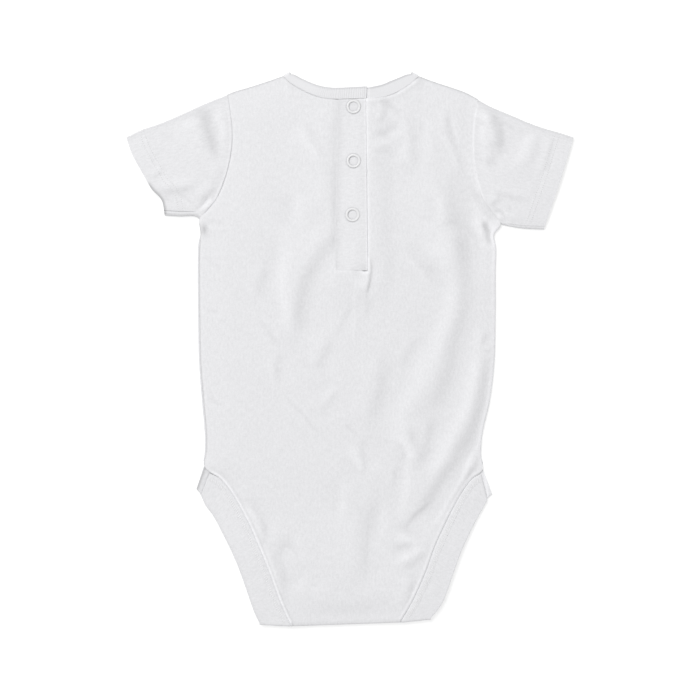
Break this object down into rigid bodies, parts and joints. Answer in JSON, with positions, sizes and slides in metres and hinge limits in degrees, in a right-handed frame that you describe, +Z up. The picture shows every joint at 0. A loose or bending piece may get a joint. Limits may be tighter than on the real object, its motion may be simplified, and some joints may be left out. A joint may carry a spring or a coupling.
{
  "type": "baby onesie",
  "caption": "Short-sleeved baby bodysuit laid flat, back side up, with round rib neck, back placket with ring snaps and wide leg bands",
  "frame": {"origin": "on the surface that the garment lies on, under the middle of its outline", "axes": "+Y towards the neck, +Z up out of the garment's back, +X towards the wearer's right sleeve"},
  "size_m": [0.313, 0.3864, 0.007],
  "materials": {
    "jersey": "white cotton single jersey, matt",
    "rib": "white cotton 1x1 rib, matt",
    "snap": "white enamelled ring snap, satin"
  },
  "bodies": {
    "root": {"back_panel": "jersey", "front_panel": "jersey", "sleeve_left": "jersey", "sleeve_right": "jersey", "placket_over": "jersey", "placket_under": "jersey", "band_back_left": "jersey", "band_back_right": "jersey", "band_front_left": "jersey", "band_front_right": "jersey", "neck_rib": "rib", "snap_ring_1": "snap", "snap_ring_2": "snap", "snap_ring_3": "snap", "snap_stud_1": "snap", "snap_stud_2": "snap", "snap_stud_3": "snap", "crotch_snap_1": "snap", "crotch_snap_2": "snap", "crotch_snap_3": "snap"}
  },
  "joints": []
}
